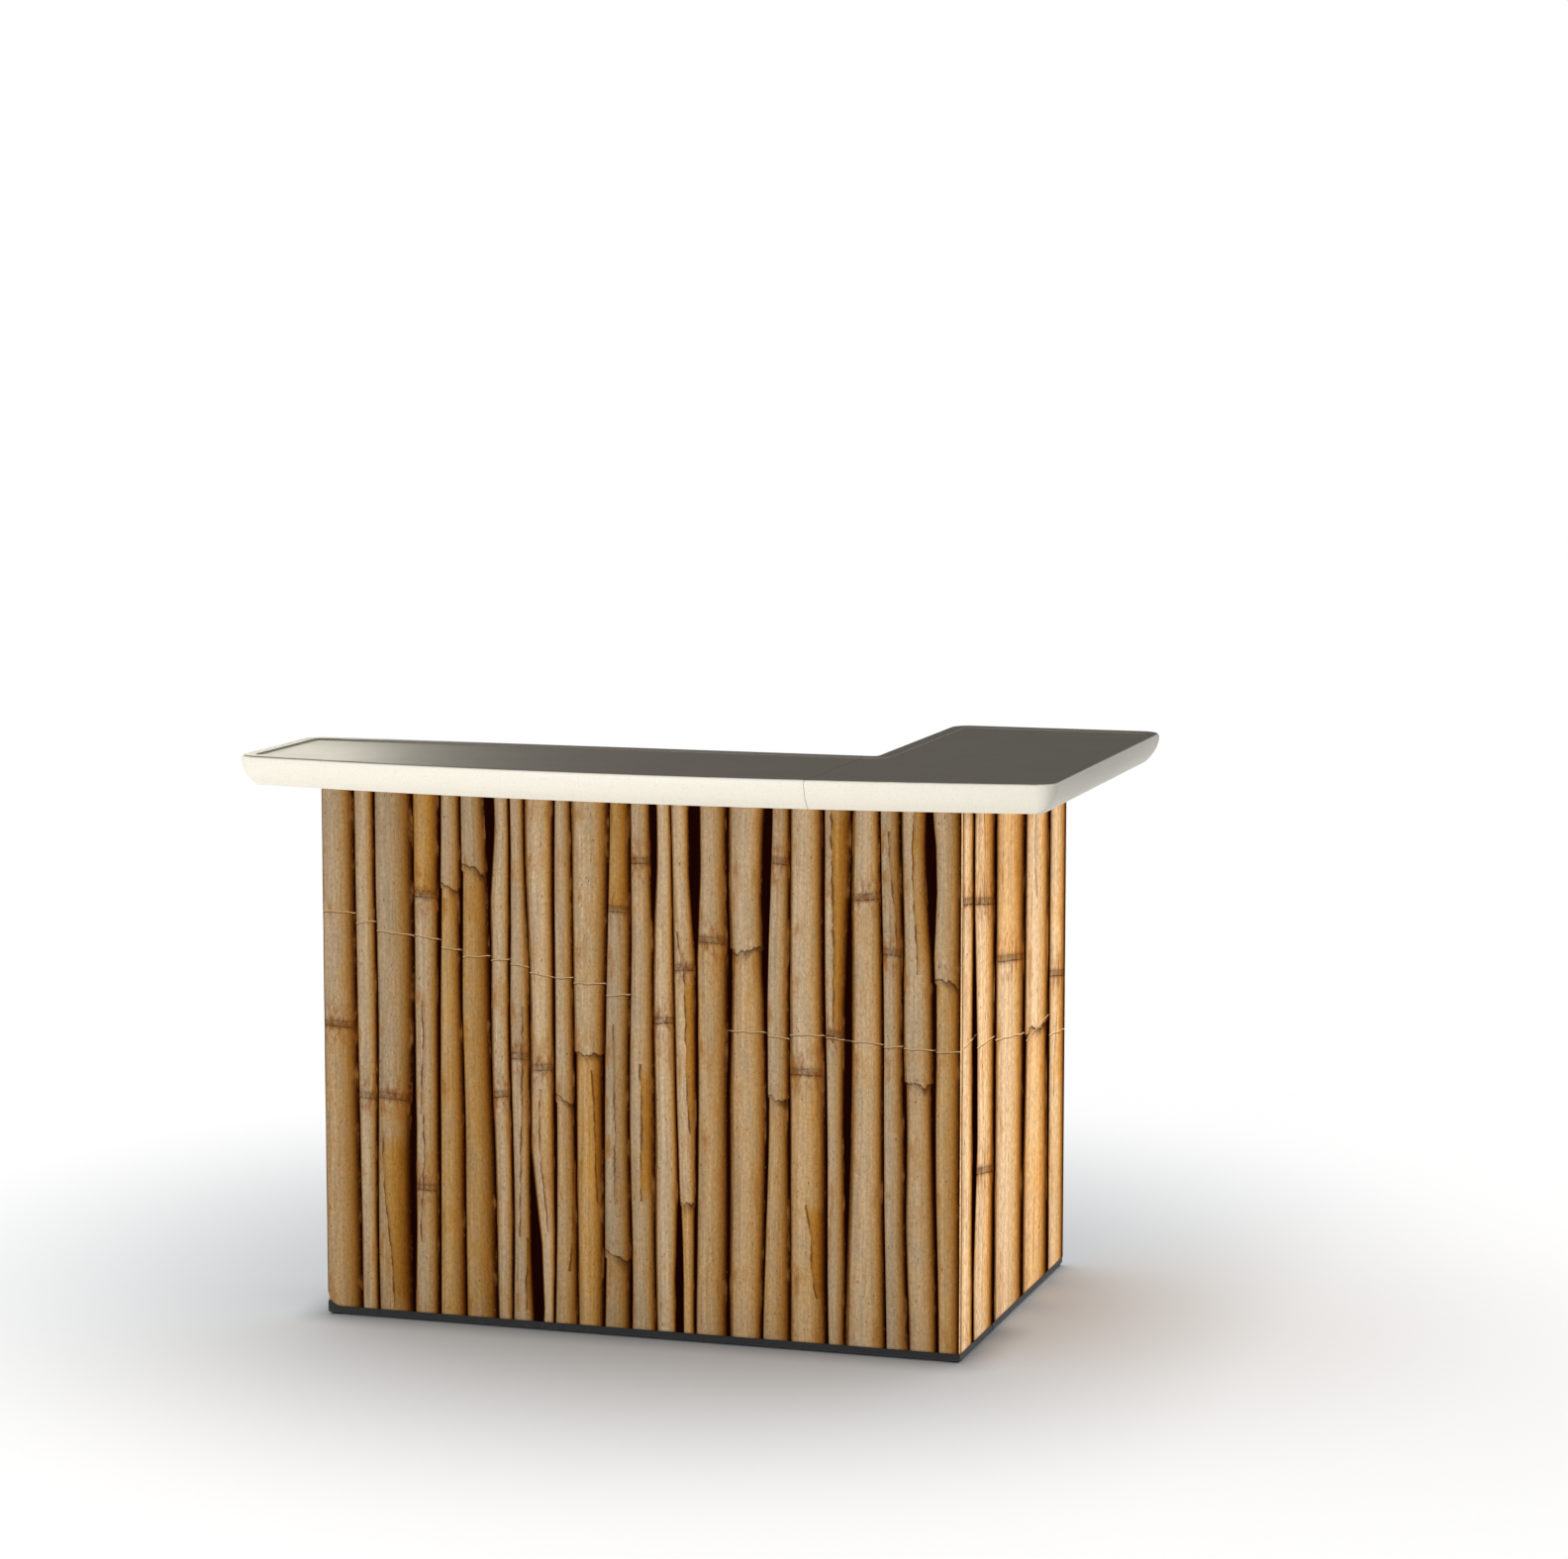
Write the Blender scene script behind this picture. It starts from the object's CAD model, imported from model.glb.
import math
import random

import bpy
import numpy as np
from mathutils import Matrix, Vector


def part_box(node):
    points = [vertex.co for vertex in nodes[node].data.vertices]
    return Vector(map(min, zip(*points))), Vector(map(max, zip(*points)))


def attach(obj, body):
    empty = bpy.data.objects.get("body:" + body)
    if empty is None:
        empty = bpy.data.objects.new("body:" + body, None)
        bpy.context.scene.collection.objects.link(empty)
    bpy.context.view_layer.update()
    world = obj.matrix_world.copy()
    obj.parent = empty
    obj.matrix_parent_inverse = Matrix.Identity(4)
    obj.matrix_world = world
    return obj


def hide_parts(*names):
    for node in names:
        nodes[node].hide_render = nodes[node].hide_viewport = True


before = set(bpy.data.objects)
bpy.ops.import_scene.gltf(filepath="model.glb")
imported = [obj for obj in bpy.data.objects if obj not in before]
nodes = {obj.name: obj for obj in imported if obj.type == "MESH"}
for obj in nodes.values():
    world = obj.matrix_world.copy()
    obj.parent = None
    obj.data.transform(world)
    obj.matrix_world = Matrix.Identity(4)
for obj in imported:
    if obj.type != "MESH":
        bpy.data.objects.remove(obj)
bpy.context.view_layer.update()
print("frame loaded:", len(nodes), "nodes")


# Small helpers

def toLinear(red, green, blue):
    # sRGB 0-255 to the linear colour that a shader socket takes
    parts = [c / 255 for c in (red, green, blue)]
    return tuple(c / 12.92 if c <= 0.04045 else ((c + 0.055) / 1.055) ** 2.4 for c in parts) + (1.0,)


def pick(piece):
    if bpy.context.object and bpy.context.object.mode != "OBJECT":
        bpy.ops.object.mode_set(mode="OBJECT")
    bpy.ops.object.select_all(action="DESELECT")
    piece.select_set(True)
    bpy.context.view_layer.objects.active = piece


def feed(tree, socket, value):
    # a value is a number, a colour or another node's socket
    if isinstance(value, bpy.types.NodeSocket):
        tree.links.new(value, socket)
    else:
        socket.default_value = value


def put(tree, kind, inputs=None, **settings):
    # one shader node with its settings
    node = tree.nodes.new("ShaderNode" + kind)
    for name, value in settings.items():
        setattr(node, name, value)
    for name, value in (inputs or {}).items():
        feed(tree, node.inputs[name], value)
    return node


def calc(tree, operation, *values, clamp=False):
    inputs = dict(enumerate(values))
    return put(tree, "Math", inputs, operation=operation, use_clamp=clamp).outputs[0]


def calcVector(tree, operation, *values):
    return put(tree, "VectorMath", dict(enumerate(values)), operation=operation).outputs[0]


def lengthOf(tree, vector):
    return put(tree, "VectorMath", {0: vector}, operation="LENGTH").outputs["Value"]


def between(tree, value, low, high, newLow=0.0, newHigh=1.0):
    # a smooth step of value from low to high
    node = put(tree, "MapRange", interpolation_type="SMOOTHSTEP")
    tree.links.new(value, node.inputs["Value"])
    for name, number in zip(("From Min", "From Max", "To Min", "To Max"), (low, high, newLow, newHigh)):
        node.inputs[name].default_value = number
    return node.outputs["Result"]


def mixColours(tree, factor, first, second, how="MIX"):
    inputs = {0: factor, 6: first, 7: second}
    return put(tree, "Mix", inputs, data_type="RGBA", blend_type=how).outputs[2]


def mixValues(tree, factor, first, second):
    return put(tree, "Mix", {0: factor, 2: first, 3: second}, data_type="FLOAT").outputs[0]


def rampOf(tree, factor, stops):
    node = put(tree, "ValToRGB", {"Fac": factor})
    ramp = node.color_ramp
    for place, colour in stops[1:-1]:
        ramp.elements.new(place).color = toLinear(*colour)
    ramp.elements[0].position, ramp.elements[0].color = stops[0][0], toLinear(*stops[0][1])
    ramp.elements[-1].position, ramp.elements[-1].color = stops[-1][0], toLinear(*stops[-1][1])
    return node.outputs["Color"]


def stretched(tree, vector, scale, offset=(0.0, 0.0, 0.0)):
    return put(tree, "Mapping", {"Vector": vector, "Scale": scale, "Location": offset}).outputs[0]


def noiseOf(tree, vector, scale, detail=2.0, rough=0.5):
    inputs = {"Vector": vector, "Scale": scale, "Detail": detail, "Roughness": rough}
    return put(tree, "TexNoise", inputs).outputs[0]


def newGroup(name, inputs, outputs):
    # inputs and outputs are lists of (name, kind, first value)
    tree = bpy.data.node_groups.new(name, "ShaderNodeTree")
    for direction, sockets in (("INPUT", inputs), ("OUTPUT", outputs)):
        for label, kind, first in sockets:
            socket = tree.interface.new_socket(label, in_out=direction, socket_type="NodeSocket" + kind)
            if first is not None:
                socket.default_value = first
    return tree, tree.nodes.new("NodeGroupInput"), tree.nodes.new("NodeGroupOutput")


def useGroup(tree, group, inputs):
    node = tree.nodes.new("ShaderNodeGroup")
    node.node_tree = group
    for name, value in inputs.items():
        feed(tree, node.inputs[name], value)
    return node.outputs


def greyOf(tree, value):
    return put(tree, "CombineColor", {"Red": value, "Green": value, "Blue": value}).outputs[0]


def partsOf(tree, layer):
    # the three numbers that the print keeps in one attribute
    vector = put(tree, "Attribute", attribute_name=layer).outputs["Vector"]
    return put(tree, "SeparateXYZ", {"Vector": vector}).outputs


def bumpOf(tree, surface, height, strength, distance):
    bump = put(tree, "Bump", {"Strength": strength, "Distance": distance, "Height": height})
    tree.links.new(bump.outputs[0], surface.inputs["Normal"])


def newMaterial(name):
    material = bpy.data.materials.new(name)
    material.use_nodes = True
    return material, material.node_tree, material.node_tree.nodes["Principled BSDF"]


# Camera, floor and light

view = {"place": (2.4895, -7.513, 1.959), "down": 0.119, "turn": 0.301, "lens": 95.31}

bpy.ops.object.camera_add(location=view["place"], rotation=(math.pi / 2 - view["down"], 0, view["turn"]))
camera = bpy.context.object
camera.data.lens = view["lens"]
camera.data.clip_end = 200
scene = bpy.context.scene
scene.camera = camera
scene.view_settings.view_transform = "Standard"

studio = {
    "floorSize": 60.0,
    "floorNear": (0.512, 0.530, 0.546, 1.0),
    "floorFar": (0.975, 0.975, 0.975, 1.0),
    "floorReach": (0.17, 1.9),
    "floorStretch": (0.98, 1.0, 1.0),
    "floorShift": (0.14, -0.29, 0.0),
    "contact": 0.60,
    "contactReach": (-0.03, 0.09),
    "sky": 0.52,
    "skyInGloss": 0.10,
    "overheadPower": 1.72,
    "overheadSpread": 95,
    "overheadTurn": (-22, -4, 0),
    "keyBoxPower": 100,
    "counterBoxPower": 128,
    "counterBoxTint": (1.0, 0.96, 0.80),
    "sideBoxPower": 45,
    "flagPlace": (1.12, 0.03, 1.02),
    "flagHalf": (0.32, 0.62, 1.0),
}


def addFloor():
    bpy.ops.mesh.primitive_plane_add(size=studio["floorSize"], location=(0, 0, -0.0005))
    floor = bpy.context.object
    floor.name = "floor"
    material, tree, surface = newMaterial("floorPaper")
    place = put(tree, "TexCoord").outputs["Object"]
    flat = stretched(tree, place, studio["floorStretch"], studio["floorShift"])
    near = between(tree, lengthOf(tree, flat), *studio["floorReach"])
    tint = mixColours(tree, near, studio["floorNear"], studio["floorFar"])
    grain = noiseOf(tree, place, 3.0)
    tint = mixColours(tree, calc(tree, "MULTIPLY", grain, 0.02), tint, (0.9, 0.9, 0.9, 1.0))
    # darker where the floor meets the rigid frame
    low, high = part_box("skirt_front")[0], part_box("skirt_side")[1]
    middle = ((low.x + high.x) / 2, (low.y + high.y) / 2, 0.0)
    half = ((high.x - low.x) / 2, (high.y - low.y) / 2, 0.0)
    beyond = calcVector(tree, "ABSOLUTE", calcVector(tree, "SUBTRACT", place, middle))
    beyond = calcVector(tree, "SUBTRACT", beyond, half)
    gapTo = lengthOf(tree, calcVector(tree, "MAXIMUM", beyond, (0.0, 0.0, 0.0)))
    contact = between(tree, gapTo, *studio["contactReach"], studio["contact"], 1.0)
    tint = mixColours(tree, 1.0, tint, greyOf(tree, contact), "MULTIPLY")
    tree.links.new(tint, surface.inputs["Base Color"])
    surface.inputs["Roughness"].default_value = 1.0
    surface.inputs["Specular IOR Level"].default_value = 0.0
    floor.data.materials.append(material)


def addSky():
    world = bpy.data.worlds.new("softSky")
    world.use_nodes = True
    scene.world = world
    tree = world.node_tree
    path = put(tree, "LightPath")
    strength = mixValues(tree, path.outputs["Is Glossy Ray"], studio["sky"], studio["skyInGloss"])
    strength = mixValues(tree, path.outputs["Is Camera Ray"], strength, 1.0)
    background = tree.nodes["Background"]
    background.inputs["Color"].default_value = (1.0, 1.0, 1.0, 1.0)
    tree.links.new(strength, background.inputs["Strength"])


def addOverhead():
    # one very wide light from above and a little behind, so the floor keeps a soft halo
    bpy.ops.object.light_add(type="SUN", rotation=[math.radians(a) for a in studio["overheadTurn"]])
    light = bpy.context.object
    light.name = "overhead"
    light.data.energy = studio["overheadPower"]
    light.data.angle = math.radians(studio["overheadSpread"])
    light.visible_glossy = False


def addSoftbox(name, place, aim, width, height, power, tint=(1.0, 1.0, 1.0)):
    bpy.ops.object.light_add(type="AREA", location=place)
    light = bpy.context.object
    light.name = name
    light.data.shape = "RECTANGLE"
    light.data.size = width
    light.data.size_y = height
    light.data.energy = power
    light.data.color = tint
    away = [p - a for p, a in zip(place, aim)]
    flat = math.hypot(away[0], away[1])
    light.rotation_euler = (math.atan2(flat, away[2]), 0, math.atan2(away[0], -away[1]))
    light.visible_camera = False
    return light


def addFlag():
    # a dark card that the camera doesn't see keeps light off the countertops' right edge
    bpy.ops.mesh.primitive_plane_add(location=studio["flagPlace"], rotation=(0, math.pi / 2, 0))
    flag = bpy.context.object
    flag.name = "flag"
    flag.scale = studio["flagHalf"]
    flag.visible_camera = flag.visible_glossy = flag.visible_shadow = False
    material, tree, surface = newMaterial("flagCloth")
    place = put(tree, "TexCoord").outputs["Object"]
    lint = noiseOf(tree, place, 40.0)
    dark = mixColours(tree, lint, (0.01, 0.01, 0.01, 1.0), (0.03, 0.03, 0.03, 1.0))
    tree.links.new(dark, surface.inputs["Base Color"])
    surface.inputs["Roughness"].default_value = 1.0
    surface.inputs["Specular IOR Level"].default_value = 0.0
    flag.data.materials.append(material)


addFloor()
addSky()
addOverhead()
addSoftbox("keyBox", (-1.6, -6.2, 0.8), (0, -0.3, 0.8), 2.6, 1.2, studio["keyBoxPower"])
counterBox = addSoftbox("counterBox", (-4.2, 5.0, 2.0), (-0.7, -0.2, 1.0), 2.6, 3.0,
                        studio["counterBoxPower"], studio["counterBoxTint"])
counterBox.visible_diffuse = False
addFlag()
print("studio ready")


# Shared effects, each one node group

fullTurn = 6.283
clothPitch = 900.0  # threads a metre


def makeStreaks():
    # fine fibres along a cane: the vector is metres across and along
    tree, start, end = newGroup(
        "caneStreaks", [("Vector", "Vector", None)],
        [(name, "Float", None) for name in ("Fine", "Broad", "Fleck", "Blotch", "Grain")],
    )
    vector = start.outputs["Vector"]
    fine = noiseOf(tree, stretched(tree, vector, (1.0, 0.022, 1.0)), 520.0, 4.0, 0.68)
    broad = noiseOf(tree, stretched(tree, vector, (1.0, 0.03, 1.0)), 150.0, 3.0, 0.65)
    fleck = noiseOf(tree, stretched(tree, vector, (1.0, 0.35, 1.0)), 240.0, 2.0, 0.6)
    grain = noiseOf(tree, stretched(tree, vector, (1.0, 0.6, 1.0)), 190.0, 3.0, 0.75)
    blotch = noiseOf(tree, stretched(tree, vector, (1.0, 0.35, 1.0)), 34.0, 4.0, 0.6)
    tree.links.new(fine, end.inputs["Fine"])
    tree.links.new(broad, end.inputs["Broad"])
    tree.links.new(between(tree, fleck, 0.63, 0.72), end.inputs["Fleck"])
    tree.links.new(grain, end.inputs["Grain"])
    tree.links.new(blotch, end.inputs["Blotch"])
    return tree


def makeCaneShade():
    # colour across a lit cane, from its left edge at -1 to its right edge at 1
    tree, start, end = newGroup(
        "caneShade",
        [("Across", "Float", 0.0), ("Tone", "Float", 0.0), ("Seed", "Float", 0.5),
         ("Wander", "Float", 0.5)],
        [("Color", "Color", None)],
    )
    across = start.outputs["Across"]
    wander = calc(tree, "MULTIPLY_ADD", start.outputs["Wander"], 0.34, -0.17)
    inner = calc(tree, "SUBTRACT", 1.0, calc(tree, "POWER", calc(tree, "ABSOLUTE", across), 4.0))
    moved = calc(tree, "MULTIPLY_ADD", wander, inner, across)
    factor = calc(tree, "MULTIPLY_ADD", moved, 0.5, 0.5, clamp=True)
    turning = calc(tree, "MULTIPLY_ADD", start.outputs["Seed"], -0.55, 1.22)
    factor = calc(tree, "POWER", factor, turning)
    pale = rampOf(tree, factor, [
        (0.0, (50, 22, 6)), (0.035, (120, 84, 44)), (0.09, (168, 143, 112)), (0.30, (184, 161, 133)),
        (0.55, (181, 155, 121)), (0.72, (172, 136, 88)), (0.84, (148, 101, 44)), (0.92, (98, 55, 18)),
        (0.975, (46, 16, 3)), (1.0, (22, 6, 1)),
    ])
    golden = rampOf(tree, factor, [
        (0.0, (46, 18, 4)), (0.035, (112, 68, 26)), (0.09, (170, 126, 68)), (0.30, (190, 150, 92)),
        (0.55, (181, 135, 68)), (0.72, (160, 108, 40)), (0.84, (128, 77, 20)), (0.92, (80, 40, 8)),
        (0.975, (42, 14, 2)), (1.0, (18, 5, 1)),
    ])
    colour = mixColours(tree, start.outputs["Tone"], pale, golden)
    grey = mixColours(tree, 1.0, colour, toLinear(226, 226, 226), "MULTIPLY")
    seedMask = between(tree, start.outputs["Seed"], 0.35, 1.0, 0.0, 0.7)
    tree.links.new(mixColours(tree, seedMask, colour, grey), end.inputs["Color"])
    return tree


def makeCaneRing():
    # marks of a node or of a sheath's torn end; distance is metres above it
    tree, start, end = newGroup(
        "caneRing",
        [("Distance", "Float", 1.0), ("Across", "Float", 0.0), ("Torn", "Float", 0.0),
         ("Seed", "Float", 0.5), ("Vector", "Vector", None)],
        [(name, "Float", None) for name in ("Line", "Stain", "Below", "Shade")],
    )
    vector, torn, across = start.outputs["Vector"], start.outputs["Torn"], start.outputs["Across"]
    slant = calc(tree, "MULTIPLY_ADD", start.outputs["Seed"], 0.030, -0.015)
    slant = calc(tree, "MULTIPLY", slant, calc(tree, "MULTIPLY_ADD", torn, 0.85, 0.15))
    bow = calc(tree, "MULTIPLY", across, slant)
    ragged = noiseOf(tree, stretched(tree, vector, (1.0, 0.45, 1.0)), 30.0, 6.0, 0.58)
    swing = mixValues(tree, torn, 0.005, 0.060)
    ragged = calc(tree, "MULTIPLY", calc(tree, "SUBTRACT", ragged, 0.5), swing)
    height = calc(tree, "ADD", calc(tree, "ADD", start.outputs["Distance"], bow), ragged)
    far = calc(tree, "ABSOLUTE", height)
    below = between(tree, height, 0.0006, -0.0006)
    fromUpper = calc(tree, "ABSOLUTE", calc(tree, "SUBTRACT", height, 0.0055))
    fromLower = calc(tree, "ABSOLUTE", calc(tree, "ADD", height, 0.0050))
    upperLine = between(tree, fromUpper, 0.0032, 0.0004)
    lowerLine = between(tree, fromLower, 0.0036, 0.0004)
    band = between(tree, far, 0.0140, 0.004, 0.0, 0.62)
    pair = calc(tree, "MAXIMUM", calc(tree, "MULTIPLY", upperLine, 0.75), lowerLine)
    pair = calc(tree, "MAXIMUM", pair, band)
    patchy = between(tree, noiseOf(tree, vector, 160.0, 2.0), 0.3, 0.62, 0.55, 1.0)
    pair = calc(tree, "MULTIPLY", pair, patchy)
    tear = calc(tree, "MULTIPLY", between(tree, far, 0.0026, 0.0005), patchy)
    tree.links.new(mixValues(tree, torn, pair, tear), end.inputs["Line"])
    lean = between(tree, across, -0.6, 0.8, 0.45, 1.0)
    shade = calc(tree, "MULTIPLY", between(tree, height, -0.020, -0.001), below)
    shade = calc(tree, "MULTIPLY", shade, lean)
    tree.links.new(calc(tree, "MULTIPLY", shade, torn), end.inputs["Shade"])
    mottle = noiseOf(tree, stretched(tree, vector, (1.0, 0.4, 1.0)), 95.0, 4.0, 0.6)
    stain = calc(tree, "MULTIPLY", between(tree, far, 0.065, 0.008), between(tree, mottle, 0.42, 0.66))
    plain = calc(tree, "SUBTRACT", 1.0, calc(tree, "MULTIPLY", torn, 0.6))
    tree.links.new(calc(tree, "MULTIPLY", stain, plain), end.inputs["Stain"])
    tree.links.new(below, end.inputs["Below"])
    return tree


def makeCrack():
    # a wandering split along a cane; distance is metres to its right
    tree, start, end = newGroup(
        "caneCrack", [("Distance", "Float", 1.0), ("Vector", "Vector", None)],
        [("Line", "Float", None), ("Shade", "Float", None), ("Right", "Float", None)],
    )
    vector = start.outputs["Vector"]
    jag = noiseOf(tree, stretched(tree, vector, (0.2, 1.0, 1.0)), 34.0, 5.0, 0.6)
    moved = calc(tree, "MULTIPLY_ADD", calc(tree, "SUBTRACT", jag, 0.5), 0.010, start.outputs["Distance"])
    thick = noiseOf(tree, stretched(tree, vector, (0.1, 1.0, 1.0)), 26.0, 2.0)
    width = between(tree, thick, 0.36, 0.66, 0.0001, 0.0021)
    line = calc(tree, "DIVIDE", calc(tree, "ABSOLUTE", moved), width)
    tree.links.new(between(tree, line, 1.5, 0.7), end.inputs["Line"])
    side = calc(tree, "MULTIPLY", between(tree, moved, 0.010, 0.0), between(tree, moved, -0.0005, 0.0005))
    tree.links.new(side, end.inputs["Shade"])
    tree.links.new(between(tree, moved, -0.0004, 0.0004), end.inputs["Right"])
    return tree


def makeTwine():
    # one strand of thin twine; distance is metres above it
    tree, start, end = newGroup(
        "twineStrand", [("Distance", "Float", 1.0), ("Vector", "Vector", None)],
        [("Strand", "Float", None), ("Shade", "Float", None), ("Twist", "Float", None)],
    )
    vector = start.outputs["Vector"]
    sway = noiseOf(tree, stretched(tree, vector, (1.0, 0.1, 1.0)), 45.0, 1.0)
    sway = calc(tree, "SUBTRACT", sway, 0.5)
    height = calc(tree, "MULTIPLY_ADD", sway, 0.006, start.outputs["Distance"])
    fromShade = calc(tree, "ABSOLUTE", calc(tree, "ADD", height, 0.0018))
    tree.links.new(between(tree, calc(tree, "ABSOLUTE", height), 0.0011, 0.0006), end.inputs["Strand"])
    tree.links.new(between(tree, fromShade, 0.0022, 0.0004), end.inputs["Shade"])
    tree.links.new(noiseOf(tree, vector, 420.0, 1.0), end.inputs["Twist"])
    return tree


def makeWeave():
    # plain weave of the cloth, as a height; the vector is metres
    tree, start, end = newGroup(
        "clothWeave",
        [("Vector", "Vector", None), ("Pitch", "Float", clothPitch)],
        [("Height", "Float", None)],
    )
    split = put(tree, "SeparateXYZ", {"Vector": start.outputs["Vector"]})
    turn = calc(tree, "MULTIPLY", start.outputs["Pitch"], fullTurn)
    warp = calc(tree, "SINE", calc(tree, "MULTIPLY", split.outputs[0], turn))
    weft = calc(tree, "SINE", calc(tree, "MULTIPLY", split.outputs[1], turn))
    crossing = calc(tree, "MULTIPLY", warp, weft)
    tree.links.new(calc(tree, "MULTIPLY_ADD", crossing, 0.5, 0.5), end.inputs["Height"])
    return tree


def makeGrain():
    # moulded plastic: a fine pebble, slow unevenness and small flecks
    tree, start, end = newGroup(
        "mouldedGrain", [("Vector", "Vector", None), ("Scale", "Float", 900.0)],
        [("Height", "Float", None), ("Uneven", "Float", None), ("Fleck", "Float", None)],
    )
    vector, scale = start.outputs["Vector"], start.outputs["Scale"]
    pebble = put(tree, "TexVoronoi", {"Vector": vector, "Scale": scale}, feature="SMOOTH_F1")
    tree.links.new(pebble.outputs["Distance"], end.inputs["Height"])
    tree.links.new(noiseOf(tree, vector, 7.0, 3.0), end.inputs["Uneven"])
    dots = noiseOf(tree, vector, calc(tree, "MULTIPLY", scale, 0.7), 2.0, 0.6)
    tree.links.new(between(tree, dots, 0.56, 0.70), end.inputs["Fleck"])
    return tree


def makeScuff():
    # light rubbing and dust on tubes, plates and screws
    tree, start, end = newGroup(
        "surfaceScuff", [("Vector", "Vector", None), ("Scale", "Float", 40.0)],
        [("Rub", "Float", None), ("Brush", "Float", None)],
    )
    vector, scale = start.outputs["Vector"], start.outputs["Scale"]
    rub = noiseOf(tree, vector, scale, 5.0, 0.65)
    brush = noiseOf(tree, stretched(tree, vector, (1.0, 1.0, 0.03)), 900.0, 2.0, 0.6)
    tree.links.new(between(tree, rub, 0.5, 0.75), end.inputs["Rub"])
    tree.links.new(brush, end.inputs["Brush"])
    return tree


caneStreaks, caneShade, caneRing, caneCrack = makeStreaks(), makeCaneShade(), makeCaneRing(), makeCrack()
twineStrand, clothWeave, mouldedGrain, surfaceScuff = makeTwine(), makeWeave(), makeGrain(), makeScuff()
print("node groups ready")


# The printed skirt

def canePrintMaterial(name, gain, warmth, contrast):
    material, tree, surface = newMaterial(name)
    cane = put(tree, "UVMap", uv_map="cane").outputs[0]
    cloth = put(tree, "UVMap", uv_map="cloth").outputs[0]
    across, seed, gap = partsOf(tree, "caneForm")
    distance, torn, light = partsOf(tree, "caneRing")
    toneAbove, toneBelow, twineAt = partsOf(tree, "caneTone")
    crackAt, sheath = partsOf(tree, "caneMarks")[:2]

    nearEdge = between(tree, calc(tree, "ABSOLUTE", across), 0.15, 0.75, 0.35, 1.0)
    streaks = useGroup(tree, caneStreaks, {"Vector": cane})
    ringed = {"Distance": distance, "Across": across, "Torn": torn, "Seed": seed, "Vector": cane}
    rings = useGroup(tree, caneRing, ringed)
    toneHere = mixValues(tree, rings["Below"], toneAbove, toneBelow)
    crack = useGroup(tree, caneCrack, {"Distance": crackAt, "Vector": cane})
    toneHere = calc(tree, "MULTIPLY_ADD", crack["Right"], sheath, toneHere)
    patches = calc(tree, "MULTIPLY_ADD", streaks["Blotch"], 1.2, -0.62)
    toneHere = calc(tree, "ADD", toneHere, patches, clamp=True)
    shaded = {"Across": across, "Tone": toneHere, "Seed": seed, "Wander": streaks["Broad"]}
    colour = useGroup(tree, caneShade, shaded)["Color"]
    bright = calc(tree, "MULTIPLY_ADD", streaks["Fine"], 0.70, 0.65)
    for layer, size, least in (("Broad", 0.90, 0.55), ("Blotch", 0.40, 0.80), ("Grain", 1.10, 0.45)):
        bright = calc(tree, "MULTIPLY", bright, calc(tree, "MULTIPLY_ADD", streaks[layer], size, least))
    bright = calc(tree, "MULTIPLY", bright, light)
    colour = mixColours(tree, 1.0, colour, greyOf(tree, bright), "MULTIPLY")
    worn = between(tree, streaks["Blotch"], 0.51, 0.70, 0.0, 0.75)
    colour = mixColours(tree, calc(tree, "MULTIPLY", worn, nearEdge), colour, toLinear(138, 92, 44))
    ringTint = mixColours(tree, torn, toLinear(72, 38, 14), toLinear(48, 24, 9))
    for mark, share, tint in (
        (rings["Stain"], 0.75, toLinear(128, 74, 28)),
        (streaks["Fleck"], 0.8, toLinear(104, 66, 32)),
        (rings["Shade"], 0.8, toLinear(66, 34, 12)),
        (rings["Line"], 0.85, ringTint),
        (crack["Shade"], 0.5, toLinear(118, 70, 24)),
        (crack["Line"], 0.75, toLinear(88, 48, 16)),
    ):
        colour = mixColours(tree, calc(tree, "MULTIPLY", mark, share), colour, tint)
    depth = mixColours(tree, streaks["Broad"], toLinear(34, 7, 1), toLinear(6, 1, 2))
    colour = mixColours(tree, gap, colour, depth)
    twine = useGroup(tree, twineStrand, {"Distance": twineAt, "Vector": cane})
    onCane = calc(tree, "MULTIPLY_ADD", gap, -0.7, 1.0)
    colour = mixColours(tree, calc(tree, "MULTIPLY", twine["Shade"], 0.6), colour, toLinear(58, 34, 14))
    strand = mixColours(tree, twine["Twist"], toLinear(150, 112, 70), toLinear(214, 188, 150))
    colour = mixColours(tree, calc(tree, "MULTIPLY", twine["Strand"], onCane), colour, strand)
    ink = tuple(gain * part for part in warmth) + (1.0,)
    colour = mixColours(tree, 1.0, colour, ink, "MULTIPLY")
    if contrast:
        red = put(tree, "SeparateColor", {"Color": colour}).outputs[0]
        deeper = greyOf(tree, calc(tree, "POWER", red, contrast))
        colour = mixColours(tree, 1.0, colour, deeper, "MULTIPLY")
    # nothing printed is paler than bare cloth, and its hue is kept
    red = put(tree, "SeparateColor", {"Color": colour}).outputs[0]
    over = calc(tree, "MAXIMUM", calc(tree, "DIVIDE", red, 0.95), 1.0)
    colour = mixColours(tree, 1.0, colour, greyOf(tree, over), "DIVIDE")
    tree.links.new(colour, surface.inputs["Base Color"])
    tree.links.new(calc(tree, "MULTIPLY_ADD", streaks["Fine"], 0.12, 0.62), surface.inputs["Roughness"])
    weave = useGroup(tree, clothWeave, {"Vector": cloth, "Pitch": clothPitch})["Height"]
    bumpOf(tree, surface, weave, 0.25, 0.0003)
    surface.inputs["Specular IOR Level"].default_value = 0.0
    return material


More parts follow.
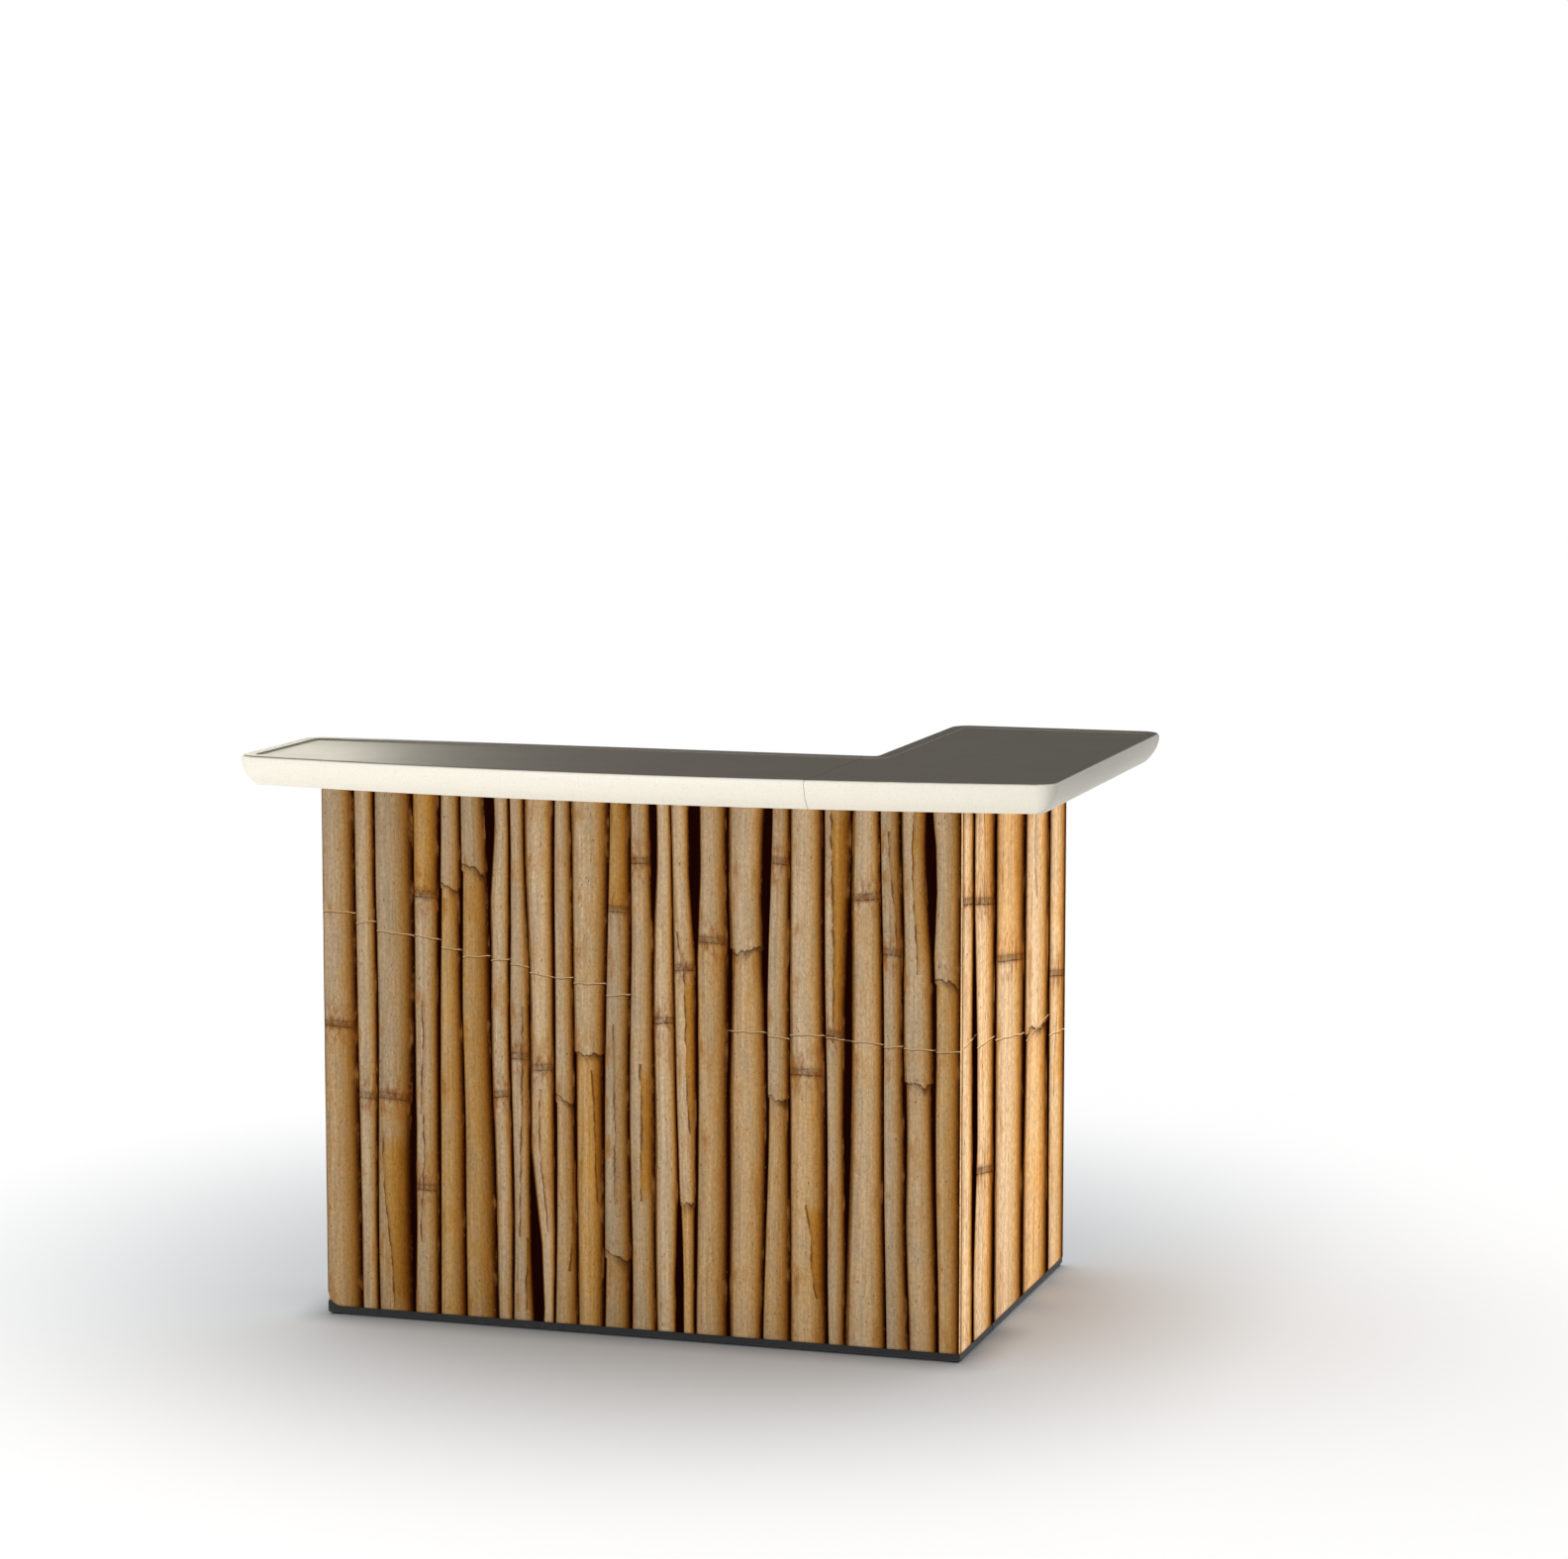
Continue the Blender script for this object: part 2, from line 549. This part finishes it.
def liningMaterial():
    material, tree, surface = newMaterial("skirtLining")
    cloth = put(tree, "UVMap", uv_map="cloth").outputs[0]
    weave = useGroup(tree, clothWeave, {"Vector": cloth, "Pitch": clothPitch})["Height"]
    slow = noiseOf(tree, cloth, 6.0, 3.0)
    colour = mixColours(tree, slow, toLinear(206, 202, 194), toLinear(226, 222, 214))
    colour = mixColours(tree, calc(tree, "MULTIPLY", weave, 0.15), colour, toLinear(150, 146, 138))
    tree.links.new(colour, surface.inputs["Base Color"])
    tree.links.new(calc(tree, "MULTIPLY_ADD", slow, 0.1, 0.75), surface.inputs["Roughness"])
    bumpOf(tree, surface, weave, 0.4, 0.0004)
    return material


skirtPrint = {
    "rowHeight": 0.0042,
    "thickness": 0.0010,
    "cornerRadius": 0.028,
    "bendRadius": 0.0025,
    "billow": 0.0009,
    "slim": 0.06,
    "slimReach": 0.26,
    "front": {"canes": 24, "seed": 11, "gap": (0.0010, 0.0044), "lean": 0.018, "tilt": 0.0,
              "wedges": 9, "wedgeWidth": 0.019, "joints": (0.36, 0.95), "golden": 1.0},
    "side": {"shares": (0.085, 0.1525, 0.225, 0.200, 0.138), "seed": 5, "gap": (0.008, 0.016),
             "lean": 0.012, "tilt": 0.13, "wedges": 1, "wedgeWidth": 0.03, "joints": (0.40, 0.9),
             "golden": 0.55},
}


def bumpCurve(z, middle, reach):
    # a hill of height 1 with straight flanks and a blunt top
    return np.clip(1.35 - 1.35 * np.abs(z - middle) / reach, 0, 1)


def planJoints(draw, plan, lowZ, highZ):
    # nodes and torn sheaths up one cane, with the tone below and above each
    joints, z = [], lowZ - draw.uniform(0.0, 0.3)
    tone = draw.choice([0.0, 0.0, 0.08, 0.2, 0.45])
    while True:
        z += draw.uniform(*plan["joints"])
        if z > highZ - 0.03:
            break
        torn = draw.random() < 0.45
        if torn:
            above = draw.uniform(0.0, 0.22)
            below = draw.uniform(0.25, 0.85) * plan["golden"]
        else:
            above = draw.choice([tone, 0.05, 0.2, plan["golden"]])
            below = tone
        joints.append({"z": z, "torn": torn, "below": below, "above": above})
        tone = above
    for lower, upper in zip(joints, joints[1:]):
        lower["above"] = upper["below"]
    if not joints:
        joints.append({"z": lowZ - 0.2, "torn": False, "below": tone, "above": tone})
    return joints


def planCracks(draw, lowZ, highZ):
    # up to two splits along one cane
    cracks = []
    while len(cracks) < 2 and draw.random() < 0.5:
        low = draw.uniform(lowZ, highZ - 0.15)
        start = draw.uniform(-0.6, 0.6)
        cracks.append({"low": low, "high": low + draw.uniform(0.15, 0.5),
                       "from": start, "to": start + draw.uniform(-0.7, 0.6),
                       "sheath": draw.choice([0.0, 0.3, 0.6, 0.9])})
    return cracks


def planCanes(plan, widths, lowZ, highZ, twine):
    # every cane of one face of the print: its edges, joints, splits and tones
    draw = random.Random(plan["seed"])
    edges = np.concatenate([[0.0], np.cumsum(widths)])
    count = len(widths)
    bounds = []
    for index, base in enumerate(edges):
        inner = 0 < index < count
        bounds.append({
            "base": base,
            "lean": draw.uniform(-1, 1) * plan["lean"] * inner,
            "sway": [(draw.uniform(0.0004, 0.0014) * inner, draw.uniform(0.35, 1.4),
                      draw.uniform(0, 6.28)) for _ in range(3)],
            "gap": draw.uniform(*plan["gap"]) * inner,
            "wedge": None,
        })
    for index in draw.sample(range(1, count), plan["wedges"]):
        bounds[index]["wedge"] = (draw.uniform(lowZ, highZ), draw.uniform(0.16, 0.42),
                                  draw.uniform(0.45, 1.0) * plan["wedgeWidth"],
                                  draw.uniform(0.1, 0.9))
    canes = []
    for index in range(count):
        joints = planJoints(draw, plan, lowZ, highZ)
        cracks = planCracks(draw, lowZ, highZ)
        canes.append({
            "joints": joints,
            "cracks": cracks,
            "seed": draw.random(),
            "light": draw.uniform(0.86, 1.06),
            "twine": [(strand, draw.uniform(-0.008, 0.008), draw.uniform(-0.16, 0.16))
                      for strand in twine],
        })
    return bounds, canes


def edgeOf(bound, z):
    line = bound["base"] + bound["lean"] * (z - 0.5)
    for size, wave, phase in bound["sway"]:
        line = line + size * np.sin(z / wave * fullTurn + phase)
    half = bound["gap"] / 2
    if bound["wedge"]:
        middle, reach, width, share = bound["wedge"]
        opening = width * bumpCurve(z, middle, reach)
        line = line + opening * (share - 0.5)
        half = half + opening / 2
    return line, half


def narrowing(cane, z):
    # below a torn sheath the bare cane is slimmer, and it swells back further down
    slim = np.zeros_like(z)
    for joint in cane["joints"]:
        if joint["torn"]:
            under = joint["z"] - z
            fade = np.clip(1 - under / skirtPrint["slimReach"], 0, 1)
            slim = np.maximum(slim, np.where(under > 0, fade, 0))
    return skirtPrint["slim"] * slim


def sheetColumns(faces):
    # columns of the sheet's grid as (face, cane, place across the cane)
    # one before the first cane or after the last is the sheet's own end, past a dark gap
    columns = []
    for faceIndex, face in enumerate(faces):
        if face["bounds"][0]["gap"]:
            columns.append((faceIndex, -1, 1.0))
        for caneIndex in range(len(face["canes"])):
            steps = face["steps"] if caneIndex == 0 else (-1.0, 0.0, 1.0)
            columns += [(faceIndex, caneIndex, u) for u in steps]
        if face["bounds"][-1]["gap"]:
            columns.append((faceIndex, len(face["canes"]), -1.0))
    return columns


def placeColumns(faces, columns, columnOf, height):
    # how far along the sheet each point lies, so that the grid follows the canes
    along = np.empty(len(height))
    for index, (faceIndex, caneIndex, u) in enumerate(columns):
        here = columnOf == index
        face = faces[faceIndex]
        if not 0 <= caneIndex < len(face["canes"]):
            along[here] = face["start"] + face["bounds"][0 if caneIndex < 0 else -1]["base"]
            continue
        z = height[here]
        left, leftHalf = edgeOf(face["bounds"][caneIndex], z)
        right, rightHalf = edgeOf(face["bounds"][caneIndex + 1], z)
        slim = narrowing(face["canes"][caneIndex], z) * (right - left)
        leftInner = caneIndex > 0
        rightInner = caneIndex + 1 < len(face["canes"])
        left = left + leftHalf + slim * leftInner
        right = right - rightHalf - slim * rightInner
        along[here] = face["start"] + left + (right - left) * (u + 1) / 2
    return along


def layTwine(tone, here, cane, middle, x, z):
    # distance above the nearest strand that crosses this cane
    for (startX, endX, startZ, endZ), shift, slope in cane["twine"]:
        inside = (x >= startX) & (x <= endX)
        share = (middle - startX) / (endX - startX)
        line = startZ + (endZ - startZ) * share + shift + slope * (x - middle)
        gapTo = np.where(inside, z - line, 1.0)
        best = tone[here, :, 2]
        tone[here, :, 2] = np.where(np.abs(gapTo) < np.abs(best), gapTo, best)


def layCracks(marks, here, cane, across, width, z, rowZ):
    # distance to each split, and how golden the sheath beside it is
    for crack in cane["cracks"]:
        inside = (rowZ > crack["low"]) & (rowZ < crack["high"])
        share = (z - crack["low"]) / (crack["high"] - crack["low"])
        path = crack["from"] + (crack["to"] - crack["from"]) * share
        path = path + 0.07 * np.sin(share * 7 + cane["seed"] * 6)
        gapTo = (across - path) * width / 2
        fade = np.clip(7 * np.minimum(share, 1 - share), 0, 1) * crack["sheath"]
        marks[here, :, 0] = np.where(inside[:, None], gapTo, marks[here, :, 0])
        marks[here, :, 1] = np.where(inside[:, None], fade, marks[here, :, 1])


def printCanes(mesh, faces, columns, columnOf, along, height):
    # the plan of the canes as numbers on the mesh, which the print's material reads
    corners = np.empty(len(mesh.loops), int)
    mesh.loops.foreach_get("vertex_index", corners)
    corners = corners.reshape(-1, 4)
    faceColumn = columnOf[corners].min(axis=1)
    cornerZ, cornerX = height[corners], along[corners]
    middleZ = cornerZ.mean(axis=1)
    form, ring = np.zeros(corners.shape + (3,)), np.zeros(corners.shape + (3,))
    tone, marks = np.zeros(corners.shape + (3,)), np.zeros(corners.shape + (3,))
    caneMap = np.zeros(corners.shape + (2,))
    slots = np.zeros(len(corners), int)
    ring[..., 0] = ring[..., 2] = tone[..., 2] = marks[..., 0] = 1.0
    for index in range(len(columns) - 1):
        here = faceColumn == index
        faceIndex, caneIndex, u = columns[index]
        nextFace, nextCane, nextU = columns[index + 1]
        face = faces[faceIndex]
        slots[here] = face["slot"]
        owner = min(max(caneIndex, 0), len(face["canes"]) - 1)
        cane = face["canes"][owner]
        z, x, rowZ = cornerZ[here], cornerX[here], middleZ[here]
        bases = [face["bounds"][owner + step]["base"] for step in (0, 1)]
        middle = face["start"] + sum(bases) / 2
        form[here, :, 1] = cane["seed"]
        layTwine(tone, here, cane, middle, x, z)
        if (faceIndex, caneIndex) != (nextFace, nextCane):
            form[here, :, 2] = 1.0
            caneMap[here, :, 0], caneMap[here, :, 1] = x, z
            continue
        across = np.where(columnOf[corners[here]] == index, u, nextU)
        width = bases[1] - bases[0]
        form[here, :, 0] = across
        caneMap[here, :, 0] = faceIndex * 7.3 + caneIndex * 0.37 + across * width / 2 * face["fibre"]
        caneMap[here, :, 1] = z * face["fibre"]
        heights = np.array([joint["z"] for joint in cane["joints"]])
        nearest = np.argmin(np.abs(rowZ[:, None] - heights), axis=1)
        torn, above, below = (np.array([float(joint[key]) for joint in cane["joints"]])[nearest][:, None]
                              for key in ("torn", "above", "below"))
        ring[here, :, 0] = z - heights[nearest][:, None] + face["tilt"] * (x - middle)
        ring[here, :, 1], ring[here, :, 2] = torn, cane["light"]
        tone[here, :, 0], tone[here, :, 1] = above, below
        layCracks(marks, here, cane, across, width, z, rowZ)
    layers = (("caneForm", form), ("caneRing", ring), ("caneTone", tone), ("caneMarks", marks))
    for label, values in layers:
        layer = mesh.attributes.new(label, "FLOAT_VECTOR", "CORNER")
        layer.data.foreach_set("vector", values.astype(np.float32).ravel())
    clothMap = np.stack([cornerX, cornerZ], axis=-1)
    mesh.uv_layers[0].name = "cane"
    mesh.uv_layers["cane"].data.foreach_set("uv", caneMap.astype(np.float32).ravel())
    mesh.uv_layers.new(name="cloth").data.foreach_set("uv", clothMap.astype(np.float32).ravel())
    for material in skirtMaterials:
        mesh.materials.append(material)
    mesh.polygons.foreach_set("material_index", slots)
    mesh.update()


def printedSheet(name, faces, lowZ, highZ, pathOf, roundCorner):
    # a cloth sheet whose grid follows the canes of its print
    columns = sheetColumns(faces)
    rows = round((highZ - lowZ) / skirtPrint["rowHeight"])
    bpy.ops.object.select_all(action="DESELECT")
    bpy.ops.mesh.primitive_grid_add(x_subdivisions=len(columns) - 1, y_subdivisions=rows, size=1)
    piece = bpy.context.object
    piece.name = name
    mesh = piece.data
    place = np.empty(len(mesh.vertices) * 3)
    mesh.vertices.foreach_get("co", place)
    place = place.reshape(-1, 3)
    columnOf = np.rint((place[:, 0] + 0.5) * (len(columns) - 1)).astype(int)
    rowOf = np.rint((place[:, 1] + 0.5) * rows).astype(int)
    height = lowZ + (highZ - lowZ) * rowOf / rows
    along = placeColumns(faces, columns, columnOf, height)
    if roundCorner:
        radius = skirtPrint["cornerRadius"]
        inset = np.clip(radius - along, 0, radius)
        lift = radius - np.sqrt(radius ** 2 - inset ** 2)
        height = height + lift * (1 - (height - lowZ) / (highZ - lowZ))
    place[:] = pathOf(along, height)
    mesh.vertices.foreach_set("co", place.ravel())
    printCanes(mesh, faces, columns, columnOf, along, height)
    pick(piece)
    bpy.ops.object.mode_set(mode="EDIT")
    bpy.ops.mesh.select_all(action="SELECT")
    bpy.ops.mesh.remove_doubles(threshold=0.000002)
    bpy.ops.object.mode_set(mode="OBJECT")
    bpy.ops.object.shade_smooth()
    wall = piece.modifiers.new("thickness", "SOLIDIFY")
    wall.thickness = skirtPrint["thickness"]
    wall.offset = -1
    wall.material_offset = len(skirtMaterials)
    wall.material_offset_rim = 0
    bpy.ops.object.modifier_apply(modifier=wall.name)
    return piece


def caneWidths(plan, width):
    if "shares" in plan:
        shares = plan["shares"]
    else:
        draw = random.Random(plan["seed"] + 100)
        shares = [draw.uniform(0.55, 1.5) for _ in range(plan["canes"])]
    return [share * width / sum(shares) for share in shares]


def dressSkirt():
    frontLow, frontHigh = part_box("skirt_front")
    sideLow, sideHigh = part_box("skirt_side")
    wingLow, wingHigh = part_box("skirt_wing")
    lowZ, highZ = frontLow.z, frontHigh.z
    bend = skirtPrint["bendRadius"]
    frontWidth = frontHigh.x - frontLow.x - bend
    arcLength = bend * math.pi / 2
    seamY = wingLow.y - 0.0003
    sideWidth = seamY - sideLow.y
    wingWidth = wingHigh.y - wingLow.y

    def frontPath(along, height):
        # along the front, round the right corner and back along the side
        turn = np.clip((along - frontWidth) / bend, 0, math.pi / 2)
        onSide = np.clip(along - frontWidth - arcLength, 0, None)
        sag = skirtPrint["billow"] * np.sin(along * 23 + height * 3) * np.sin(height * 17)
        sag = np.where(along < frontWidth - 0.03, np.abs(sag), 0)
        x = frontLow.x + np.minimum(along, frontWidth) + bend * np.sin(turn)
        y = frontLow.y + bend * (1 - np.cos(turn)) + onSide
        return np.stack([x, y - sag, height], axis=-1)

    def wingPath(along, height):
        return np.stack([np.full_like(along, wingHigh.x), wingLow.y + along, height], axis=-1)

    front, side = skirtPrint["front"], skirtPrint["side"]
    firstTwine = (0.0, 0.62, 0.785, 0.640)
    secondTwine = (0.80, frontWidth, 0.592, 0.575)
    sideTwine = (frontWidth, 2.06, 0.590, 0.484)
    wingTwine = (0.0, wingWidth, 0.556, 0.484)
    frontTotal = frontWidth + arcLength
    sideTotal = sideWidth + wingWidth
    frontTwines = [firstTwine, secondTwine]
    frontBounds, frontCanes = planCanes(front, caneWidths(front, frontWidth), lowZ, highZ, frontTwines)
    sideBounds, sideCanes = planCanes(side, caneWidths(side, sideTotal), lowZ, highZ, [sideTwine])

    # the side's canes are shared out between the frame and the wing
    split = 2
    for cane in sideCanes[split:]:
        cane["twine"] = [(wingTwine, shift, slope) for _, shift, slope in cane["twine"]]
    frameBounds = [dict(bound) for bound in sideBounds[:split + 1]]
    wingBounds = [dict(bound) for bound in sideBounds[split:]]
    for bound in (frameBounds[-1], wingBounds[0]):
        bound.update(lean=0.0, sway=[], gap=0.012, wedge=None)
    frameBounds[-1]["base"] = sideWidth
    for bound in wingBounds[1:]:
        bound["base"] -= wingBounds[0]["base"]
    wingBounds[0]["base"] = 0.0
    wingBounds[-1]["base"] = wingWidth

    still = {"lean": 0.0, "sway": [], "gap": 0.0, "wedge": None}
    unmarked = {"z": lowZ - 0.2, "torn": False, "below": 0.0, "above": 0.0}
    cornerCane = {"joints": [unmarked], "cracks": [], "seed": 0.1, "light": 1.1, "twine": []}
    plainSteps = (-1.0, 0.0, 1.0)
    frontFace = {
        "bounds": frontBounds, "canes": frontCanes, "start": 0.0, "slot": 0,
        "steps": (-1.0, -0.9, -0.75, -0.55, -0.3, 0.0, 1.0), "fibre": 1.0, "tilt": front["tilt"],
    }
    cornerFace = {
        "bounds": [{"base": 0.0, **still}, {"base": arcLength, **still}], "canes": [cornerCane],
        "start": frontWidth, "slot": 1, "steps": (-1.0, -0.34, 0.34, 1.0), "fibre": 1.0, "tilt": 0.0,
    }
    sideFace = {
        "bounds": frameBounds, "canes": sideCanes[:split], "start": frontTotal, "slot": 1,
        "steps": plainSteps, "fibre": 0.55, "tilt": side["tilt"],
    }
    wingFace = {
        "bounds": wingBounds, "canes": sideCanes[split:], "start": 0.0, "slot": 1,
        "steps": plainSteps, "fibre": 0.55, "tilt": side["tilt"],
    }
    onFrame = printedSheet("skirtFrame", [frontFace, cornerFace, sideFace], lowZ, highZ, frontPath, True)
    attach(onFrame, "frame")
    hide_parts("skirt_front", "skirt_side")
    onWing = printedSheet("skirtWing", [wingFace], lowZ, highZ, wingPath, False)
    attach(onWing, "wing")
    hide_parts("skirt_wing")


skirtMaterials = [
    canePrintMaterial("canePrintFront", 1.10, (1.0, 0.985, 0.95), 0.0),
    canePrintMaterial("canePrintSide", 1.82, (1.0, 0.93, 0.85), 0.35),
    liningMaterial(),
]
dressSkirt()
print("skirt ready")


def lightPrint():
    # the print on the right side is lit more than the countertop over it
    sideBox = addSoftbox("sideBox", (3.0, 0.1, 1.25), (0.6, 0.1, 0.6), 1.6, 1.0, studio["sideBoxPower"])
    sideBox.visible_glossy = False
    lit = bpy.data.collections.new("litPrint")
    for piece in ("skirtFrame", "skirtWing"):
        lit.objects.link(bpy.data.objects[piece])
    sideBox.light_linking.receiver_collection = lit


lightPrint()


# Countertops

counter = {
    "cream": (241, 236, 221),
    "creamFleck": (196, 184, 160),
    "taupe": (97, 91, 82),
    "rimStep": (172, 166, 152),
    "taupeFleck": (130, 123, 110),
    "taupeFrom": (0.55, 0.95),
    "seamTaupe": 0.0045,
    "rimDepth": 0.0035,
    "rimBevel": 0.0010,
    "smoothAngle": 34,
}


def counterMaterial(name, topOnly, topTint):
    material, tree, surface = newMaterial(name)
    coordinates = put(tree, "TexCoord")
    place = coordinates.outputs["Object"]
    facing = put(tree, "SeparateXYZ", {"Vector": coordinates.outputs["Normal"]}).outputs[2]
    onTop = 1.0 if topOnly else between(tree, facing, *counter["taupeFrom"])
    grain = useGroup(tree, mouldedGrain, {"Vector": place, "Scale": 620.0})
    fleck = calc(tree, "MULTIPLY", grain["Fleck"], 0.35)
    cream = mixColours(tree, fleck, toLinear(*counter["cream"]), toLinear(*counter["creamFleck"]))
    fleck = calc(tree, "MULTIPLY", grain["Fleck"], 0.45)
    taupe = mixColours(tree, fleck, toLinear(*topTint), toLinear(*counter["taupeFleck"]))
    worn = calc(tree, "MULTIPLY", grain["Uneven"], 0.25)
    taupe = mixColours(tree, worn, taupe, toLinear(78, 72, 64))
    tree.links.new(mixColours(tree, onTop, cream, taupe), surface.inputs["Base Color"])
    rough = calc(tree, "MULTIPLY_ADD", grain["Uneven"], 0.10, 0.36)
    tree.links.new(rough, surface.inputs["Roughness"])
    bumpOf(tree, surface, grain["Height"], 0.2, 0.0004)
    surface.inputs["Specular IOR Level"].default_value = 0.4
    return material


def dressCounter(nodeName, pieceName, bodyName):
    # the moulded countertop again, with its rim softened and its curves smooth
    low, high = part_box(nodeName)
    top, seamX = high.z, high.x if bodyName == "main_counter" else low.x
    piece = bpy.data.objects.new(pieceName, nodes[nodeName].data.copy())
    scene.collection.objects.link(piece)
    piece.data.materials.clear()
    for material in counterMaterials:
        piece.data.materials.append(material)
    pick(piece)
    bpy.ops.object.mode_set(mode="EDIT")
    bpy.ops.mesh.select_all(action="SELECT")
    bpy.ops.mesh.remove_doubles(threshold=0.00001)
    bpy.ops.mesh.dissolve_limited(angle_limit=math.radians(0.3))
    bpy.ops.mesh.bisect(plane_co=(0, 0, top - counter["seamTaupe"]), plane_no=(0, 0, 1))
    bpy.ops.mesh.select_all(action="DESELECT")
    bpy.ops.mesh.select_mode(type="EDGE")
    bpy.ops.object.mode_set(mode="OBJECT")
    mesh = piece.data
    facesOf = {}
    for polygon in mesh.polygons:
        lowest = min(mesh.vertices[v].co.z for v in polygon.vertices)
        flat, upright = polygon.normal.z > 0.995, abs(polygon.normal.z) < 0.05
        if lowest > top - counter["rimDepth"] and (flat or upright):
            polygon.material_index = 1 if flat else 2
        onSeam = abs(polygon.normal.x) > 0.9 and abs(polygon.center.x - seamX) < 0.001
        if onSeam and lowest > top - counter["seamTaupe"] - 0.0001:
            polygon.material_index = 1
        for key in polygon.edge_keys:
            facesOf.setdefault(key, []).append(abs(polygon.normal.z))
    for edge in mesh.edges:
        ends = [mesh.vertices[v].co.z for v in edge.vertices]
        steep = facesOf.get(edge.key, [])
        edge.select = (min(ends) > top - counter["rimDepth"] and abs(ends[0] - ends[1]) < 0.0001
                       and len(steep) == 2 and min(steep) < 0.05 and max(steep) > 0.95)
    bpy.ops.object.mode_set(mode="EDIT")
    bpy.ops.mesh.bevel(offset=counter["rimBevel"], segments=3, affect="EDGES")
    bpy.ops.object.mode_set(mode="OBJECT")
    bpy.ops.object.shade_smooth_by_angle(angle=math.radians(counter["smoothAngle"]))
    normals = piece.modifiers.new("evenNormals", "WEIGHTED_NORMAL")
    normals.keep_sharp = True
    bpy.ops.object.modifier_apply(modifier=normals.name)
    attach(piece, bodyName)
    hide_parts(nodeName)


counterMaterials = [
    counterMaterial("counterEdge", False, counter["taupe"]),
    counterMaterial("counterTop", True, counter["taupe"]),
    counterMaterial("counterStep", True, counter["rimStep"]),
]
dressCounter("countertop_main", "counterMain", "main_counter")
dressCounter("countertop_return", "counterReturn", "return_counter")
print("countertops ready")


# Frame, shelves, hinges and small parts keep their CAD shapes

def tubeMaterial(name, colour, rubbed, metal, rough):
    material, tree, surface = newMaterial(name)
    place = put(tree, "TexCoord").outputs["Object"]
    scuff = useGroup(tree, surfaceScuff, {"Vector": place, "Scale": 26.0})
    bright = toLinear(*rubbed)
    tint = mixColours(tree, calc(tree, "MULTIPLY", scuff["Rub"], 0.35), toLinear(*colour), bright)
    tint = mixColours(tree, calc(tree, "MULTIPLY", scuff["Brush"], 0.18), tint, bright)
    tree.links.new(tint, surface.inputs["Base Color"])
    surface.inputs["Metallic"].default_value = metal
    shine = calc(tree, "MULTIPLY_ADD", scuff["Brush"], 0.14, rough)
    tree.links.new(calc(tree, "MULTIPLY_ADD", scuff["Rub"], 0.1, shine), surface.inputs["Roughness"])
    bumpOf(tree, surface, scuff["Brush"], 0.08, 0.0003)
    return material


def plasticMaterial(name, colour, fleck, rough, scale=900.0):
    material, tree, surface = newMaterial(name)
    place = put(tree, "TexCoord").outputs["Object"]
    grain = useGroup(tree, mouldedGrain, {"Vector": place, "Scale": scale})
    scuff = useGroup(tree, surfaceScuff, {"Vector": place, "Scale": 34.0})
    dust = toLinear(*fleck)
    tint = mixColours(tree, calc(tree, "MULTIPLY", grain["Fleck"], 0.2), toLinear(*colour), dust)
    tint = mixColours(tree, calc(tree, "MULTIPLY", scuff["Rub"], 0.15), tint, dust)
    tree.links.new(tint, surface.inputs["Base Color"])
    tree.links.new(calc(tree, "MULTIPLY_ADD", grain["Uneven"], 0.12, rough), surface.inputs["Roughness"])
    bumpOf(tree, surface, grain["Height"], 0.3, 0.0004)
    return material


def tapeMaterial():
    # woven touch tape with its loops
    material, tree, surface = newMaterial("touchTape")
    place = put(tree, "TexCoord").outputs["Object"]
    loops = put(tree, "TexVoronoi", {"Vector": place, "Scale": 700.0}).outputs["Distance"]
    tint = mixColours(tree, loops, toLinear(14, 14, 15), toLinear(58, 58, 60))
    tree.links.new(tint, surface.inputs["Base Color"])
    surface.inputs["Roughness"].default_value = 0.9
    surface.inputs["Sheen Weight"].default_value = 0.3
    bumpOf(tree, surface, loops, 0.8, 0.0006)
    return material


def makeFinishes():
    # a finish for each start of a node's name; the first that fits is used
    return [
        (("rail_low", "wing_rail_low"),
         tubeMaterial("baseTube", (58, 59, 60), (90, 91, 92), 0.0, 0.42)),
        (("post", "rail", "wing_post", "wing_rail"),
         tubeMaterial("frameTube", (168, 170, 172), (202, 204, 206), 0.75, 0.34)),
        (("fitting", "wing_fitting"),
         plasticMaterial("fittingPlastic", (50, 52, 55), (84, 86, 90), 0.46)),
        (("shelf",), plasticMaterial("shelfPlastic", (176, 172, 162), (140, 134, 122), 0.5, 700.0)),
        (("glides",), plasticMaterial("glideRubber", (22, 22, 23), (52, 52, 54), 0.6)),
        (("hinge_screws", "hinge_pins"),
         tubeMaterial("brightSteel", (196, 196, 198), (226, 226, 228), 1.0, 0.22)),
        (("hinge_leaves",), tubeMaterial("zincLeaf", (150, 150, 148), (192, 192, 190), 1.0, 0.32)),
        (("touch_tape",), tapeMaterial()),
    ]


def dressNodes(finishes):
    for name, node in nodes.items():
        if node.hide_render:
            continue
        for starts, material in finishes:
            if name.startswith(starts):
                node.data.materials.clear()
                node.data.materials.append(material)
                break


dressNodes(makeFinishes())
print("frame dressed")
